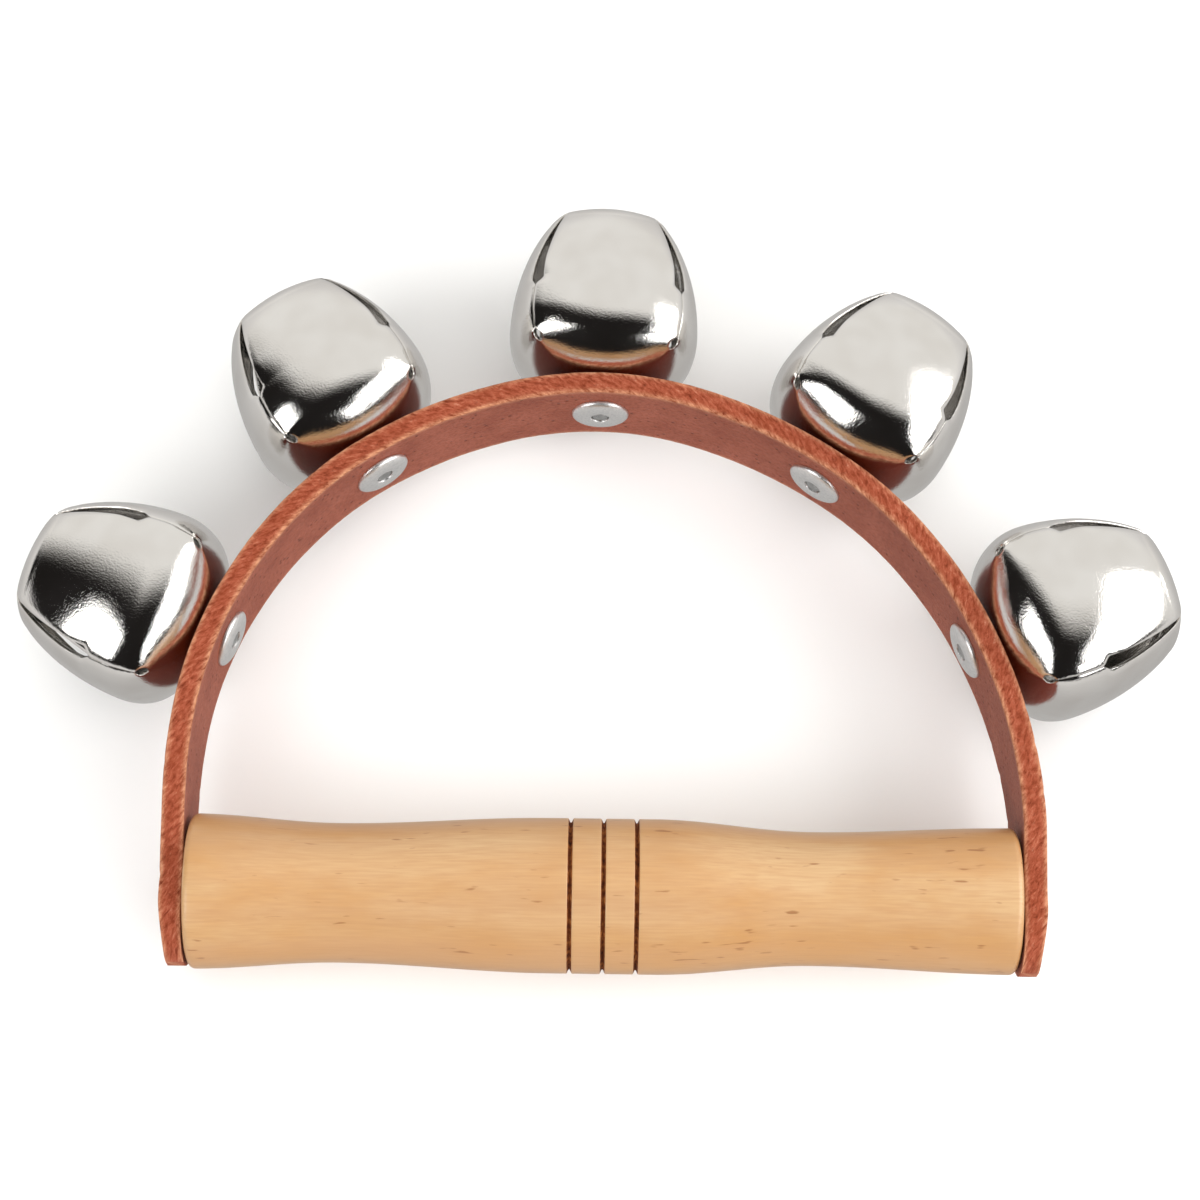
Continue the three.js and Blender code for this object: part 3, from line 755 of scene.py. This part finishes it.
def petal_point(share, radius, height):
    """A point of the sheet: share runs from -1 to 1 across a petal."""
    roundness = FOLD_ROUNDNESS * smooth(BELLY_HEIGHT, FOLD_HEIGHT, height)
    squareness = smooth(0, SQUARE_HEIGHT, height) * (1 - roundness)
    corner = radius * (1 + squareness * (petal_reach(math.pi / 4) - 1))
    widest = math.pi / 4 - math.asin(min(edge_gap(height) / corner, 0.7))
    angle = share * widest
    reach = radius * (1 + squareness * (petal_reach(angle) - 1)) - edge_curl(share, height)
    if RELIEF_HEIGHT + RELIEF_RADIUS < height < FOLD_HEIGHT + 1:
        # the sheared edges are rolled in a little
        reach -= SHEARED_ROLL * smooth(0.9, 1.0, abs(share)) ** 1.5
    return Vector((reach * math.cos(angle), reach * math.sin(angle), height))


def make_bell(number, hinge, slide):
    """Four petals folded up from one base, closed over a loose pellet. hinge and slide are the CAD joints:
    the bell's own axis and the line across it from petal to petal."""
    rows = petal_rows()
    bm = bmesh.new()
    grid = bmesh.ops.create_grid(bm, x_segments=PETAL_COLUMNS - 1, y_segments=len(rows) - 1, size=1)["verts"]
    for vert in grid:
        row = round((vert.co.y + 1) / 2 * (len(rows) - 1))
        # columns are closer together near the petal's edges
        share = math.sin(vert.co.x * math.pi / 2) * 0.35 + vert.co.x * 0.65
        vert.co = petal_point(share, *rows[row])
    bmesh.ops.spin(bm, geom=bm.faces[:], cent=(0, 0, 0), axis=(0, 0, 1), dvec=(0, 0, 0), angle=1.5 * math.pi,
                   steps=3, use_duplicate=True)
    bmesh.ops.remove_doubles(bm, verts=bm.verts, dist=0.01)
    bmesh.ops.recalc_face_normals(bm, faces=bm.faces)
    if sum(f.calc_center_median().to_2d().dot(f.normal.to_2d()) for f in bm.faces) < 0:
        bmesh.ops.reverse_faces(bm, faces=bm.faces)
    z = Vector(hinge["axis"]).normalized()
    y = Vector(slide["axis"]).normalized()
    place = basis(y.cross(z), y, z, Vector(hinge["pos_m"]))
    wall = ("SOLIDIFY", {"thickness": BELL_SHEET * MM, "offset": -1.0, "use_even_offset": False})
    lip = ("BEVEL", {"width": SHEET_EDGE_ROUND * MM, "segments": 2, "limit_method": "ANGLE",
                     "angle_limit": math.radians(50)})
    bell = settle(f"bell_shell_{number}", bm, place, [NICKEL], sharp=50, modifiers=(wall, lip))
    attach(bell, f"bell_{number}_body")
    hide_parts(f"bell_{number}")


def make_pellet(number):
    """A tumbled steel slug, not quite round."""
    low, high = (Vector(corner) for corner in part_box(f"pellet_{number}"))
    bm = bmesh.new()
    bmesh.ops.create_icosphere(bm, subdivisions=4, radius=PELLET_RADIUS * 0.98)
    for vert in bm.verts:
        vert.co *= 1 - PELLET_DENT * abs(noise.noise(vert.co * 0.45 + Vector((number * 5, 0, 0))))
    pellet = settle(f"pellet_shot_{number}", bm, Matrix.Translation((low + high) / 2), [ZINC])
    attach(pellet, f"pellet_{number}_body")
    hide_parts(f"pellet_{number}")


# ---------------------------------------------------------------- rivets and screws
def make_rivet(number):
    """A domed flange on the strap's inner face, a hollow shank and the head upset inside the bell."""
    core = MANDREL_RADIUS + MANDREL_GAP
    under = -FLANGE_GAP
    crest = under - FLANGE_HEIGHT
    flat = core + FLANGE_FLAT
    outline = [(core, crest + 0.3), (core + 0.08, crest + 0.1), (core + 0.3, crest + 0.02), (flat, crest)]
    for a in range(12, 90, 13):
        outline.append((flat + (FLANGE_RADIUS - flat) * math.sin(math.radians(a)),
                        under - FLANGE_EDGE - (FLANGE_HEIGHT - FLANGE_EDGE) * math.cos(math.radians(a))))
    outline += [(FLANGE_RADIUS, under - 0.2), (FLANGE_RADIUS, under - 0.06), (FLANGE_RADIUS - 0.06, under),
                (RIVET_RADIUS, under), (RIVET_RADIUS, BLIND_HEAD_START)]
    bulge = BLIND_HEAD_RADIUS - RIVET_RADIUS
    middle = (BLIND_HEAD_START + BLIND_HEAD_END) / 2
    for a in range(-80, 81, 20):
        outline.append((RIVET_RADIUS + bulge * math.cos(math.radians(a)),
                        middle + (BLIND_HEAD_END - middle) * math.sin(math.radians(a))))
    outline += [(core + 0.1, BLIND_HEAD_END), (core, BLIND_HEAD_END - 0.1), (core, crest + 0.3)]
    rivet = settle(f"rivet_flanged_{number}", spun(outline, 64), station(number - 1), [ALUMINIUM], sharp=40)
    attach(rivet, "frame")
    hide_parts(f"rivet_{number}")


def make_mandrel(number):
    """What is left of the nail that set the rivet: broken off in the flange, its head inside the bell."""
    start = MANDREL_SUNK - FLANGE_GAP - FLANGE_HEIGHT
    head = MANDREL_HEAD_RADIUS
    outline = [(0, start + 0.12), (0.35, start + 0.05), (MANDREL_RADIUS - 0.15, start),
               (MANDREL_RADIUS, start + 0.12), (MANDREL_RADIUS, BLIND_HEAD_END + 0.1),
               (head, BLIND_HEAD_END + 0.2), (head, MANDREL_END - 0.5), (head - 0.3, MANDREL_END - 0.12),
               (head - 1, MANDREL_END), (0, MANDREL_END)]
    mandrel = settle(f"mandrel_broken_{number}", spun(outline, 40), station(number - 1), [ZINC], sharp=40)
    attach(mandrel, "frame")
    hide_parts(f"mandrel_{number}")


def make_screw(name, side):
    """A countersunk wood screw, flush with the strap, with a cross recess and a coarse thread."""
    face = STRAP_THICKNESS
    head = SCREW_HEAD_RADIUS
    outline = [(0, -SCREW_LENGTH), (0.3, -SCREW_LENGTH + 0.3)]
    for k in range(THREAD_TURNS):
        low = -SCREW_LENGTH + 3 + k * THREAD_PITCH
        outline += [(SCREW_CORE_RADIUS, low), (THREAD_RADIUS, low + 0.5), (SCREW_CORE_RADIUS, low + 1.0)]
    outline += [(SCREW_NECK_RADIUS, -2.4), (SCREW_NECK_RADIUS, face - 2), (head, face - 0.3),
                (head - 0.02, face - 0.08), (head - 0.14, face), (0, face)]
    place = screw_place(side)
    cutter = bmesh.new()
    for turn in (0, math.pi / 2):
        bar = bmesh.ops.create_cube(cutter, size=1)["verts"]
        bmesh.ops.scale(cutter, vec=(CROSS_LENGTH, CROSS_WIDTH, 2 * CROSS_DEPTH), verts=bar)
        for vert in bar:
            if vert.co.z < 0:
                # the recess gets narrower downwards
                vert.co.x *= 0.55
        bmesh.ops.rotate(cutter, cent=(0, 0, 0), matrix=Matrix.Rotation(turn, 3, "Z"), verts=bar)
        bmesh.ops.translate(cutter, vec=(0, 0, face), verts=bar)
    tool = settle("cross_tool", cutter, place, [ZINC])
    recess = ("BOOLEAN", {"operation": "DIFFERENCE", "object": tool, "solver": "EXACT", "use_self": True})
    screw = settle(name, spun(outline, 48), place, [ZINC], sharp=30, modifiers=(recess,))
    bpy.data.objects.remove(tool)
    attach(screw, "frame")
    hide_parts(name.replace("wood_", ""))


joints = {joint["name"]: joint for joint in frame["joints"]}
make_grip()
make_strap()
for n in range(1, BELLS + 1):
    make_bell(n, joints[f"bell_{n}_swivel"], joints[f"pellet_{n}_rattle"])
    make_pellet(n)
    make_rivet(n)
    make_mandrel(n)
make_screw("wood_screw_left", -1)
make_screw("wood_screw_right", 1)


# ---------------------------------------------------------------- studio
FLOOR_HALF = 520
WALL_CUT_BACK = 0.75
CAMERA_ELEVATION = math.radians(70)
CAMERA_ROLL = math.radians(0.763)
CAMERA_DISTANCE = 420.53
CAMERA_LENS = 87.1
CAMERA_AIM = (-0.974, 44.008, 0)
LIGHT_AIM = (0, 40, 0)


def make_floor():
    """A pale matt sheet under the object's lowest point. The metal mirrors the room's grey in its place."""
    bm = bmesh.new()
    bmesh.ops.create_grid(bm, x_segments=1, y_segments=1, size=FLOOR_HALF)
    made, _ = new_material("pale_paper", Roughness=0.9, Specular_IOR_Level=0.1, Base_Color="#f6f6f5")
    floor = settle("floor", bm, Matrix.Translation((0, 0, cad_low[2] - 0.05 * MM)), [made])
    floor.visible_glossy = False


def make_light(name, direction, distance, size, power, mirrored=True):
    """A softbox that looks at the middle of the arch from a direction; distance and size are in metres. It
    doesn't show in the picture itself, and only a mirrored one shows in the metal."""
    lamp = bpy.data.lights.new(name, "AREA")
    lamp.shape = "RECTANGLE"
    lamp.size, lamp.size_y = size
    lamp.energy = power
    made = bpy.data.objects.new(name, lamp)
    aim = Vector(direction).normalized()
    made.location = GRIP_CENTRE + Vector(LIGHT_AIM) * MM + aim * distance
    made.rotation_euler = aim.to_track_quat("Z", "Y").to_euler()
    made.visible_camera = False
    made.visible_glossy = mirrored
    bpy.context.scene.collection.objects.link(made)


def make_world():
    """A room for the metal to mirror: a pale wall behind the object that stops past its left side, a floor
    with a painted shadow that is darker right under the object, and darkness overhead and round the camera.
    The camera itself sees a plain pale surround past the paper."""
    world = bpy.data.worlds.new("studio")
    bpy.context.scene.world = world
    world.use_nodes = True
    tree = world.node_tree
    tree.nodes.clear()
    way = add(tree, "TexCoord", out="Generated")
    x = add(tree, "SeparateXYZ", {"Vector": way}, out="X")
    y = add(tree, "SeparateXYZ", {"Vector": way}, out="Y")
    z = add(tree, "SeparateXYZ", {"Vector": way}, out="Z")
    leftward = add(tree, "Math", {0: x, 1: 0.0}, operation="MINIMUM")
    edge = add(tree, "Math", {0: leftward, 1: WALL_CUT_BACK, 2: y}, operation="MULTIPLY_ADD")
    wall = add(tree, "MapRange", {"Value": edge, "From Min": -0.3, "From Max": 0.14},
               interpolation_type="SMOOTHSTEP")
    glow = add(tree, "MixRGB", {"Fac": wall, "Color1": "#1e1c1b", "Color2": "#f1efeb"})
    below = add(tree, "MapRange", {"Value": z, "From Min": 0.0, "From Max": -0.04})
    # painted shadow of the object on the mirrored floor: darker the more steeply down the way points
    painted_shadow = add(tree, "MapRange", {"Value": z, "From Min": -0.1, "From Max": -0.85})
    ground = add(tree, "MixRGB", {"Fac": painted_shadow, "Color1": "#e6e4e2", "Color2": "#bcbab8"})
    glow = add(tree, "MixRGB", {"Fac": below, "Color1": glow, "Color2": ground})
    seen = add(tree, "LightPath", out="Is Camera Ray")
    room = add(tree, "Background", {"Color": glow, "Strength": 1.0})
    pale = add(tree, "Background", {"Color": "#f4f4f4", "Strength": 1.0})
    both = add(tree, "MixShader", {0: seen, 1: room, 2: pale})
    add(tree, "OutputWorld", {"Surface": both})


def make_camera():
    """Above and in front, looking down at the middle of the arch, turned very slightly about its own axis."""
    back = Vector((0, -math.cos(CAMERA_ELEVATION), math.sin(CAMERA_ELEVATION)))
    right = Vector((1, 0, 0))
    up = back.cross(right)
    tilted_right = right * math.cos(CAMERA_ROLL) + up * math.sin(CAMERA_ROLL)
    tilted_up = up * math.cos(CAMERA_ROLL) - right * math.sin(CAMERA_ROLL)
    place = GRIP_CENTRE + Vector(CAMERA_AIM) * MM + back * CAMERA_DISTANCE * MM
    data = bpy.data.cameras.new("camera")
    data.sensor_width = 36
    data.lens = CAMERA_LENS
    data.clip_start = 0.01
    camera = bpy.data.objects.new("camera", data)
    camera.matrix_world = basis(tilted_right, tilted_up, back, place)
    bpy.context.scene.collection.objects.link(camera)
    bpy.context.scene.camera = camera


make_floor()
make_world()
make_light("left_softbox", (-0.7, -0.46, 0.55), distance=0.7, size=(0.42, 0.5), power=2.4)
make_light("right_softbox", (0.85, -0.08, 0.5), distance=0.7, size=(0.8, 0.46), power=4.0)
make_light("front_softbox", (0.6, -0.7, 0.38), distance=0.7, size=(0.2, 0.26), power=0.6)
make_light("overhead_fill", (0, -0.35, 0.94), distance=1.3, size=(1.6, 1.6), power=10, mirrored=False)
make_light("front_fill", (0, -0.85, 0.65), distance=1.3, size=(1.6, 0.8), power=5, mirrored=False)
make_light("rear_fill", (0, 1, 0.5), distance=1.3, size=(1.6, 0.8), power=3, mirrored=False)
make_camera()
bpy.context.scene.view_settings.view_transform = "Standard"
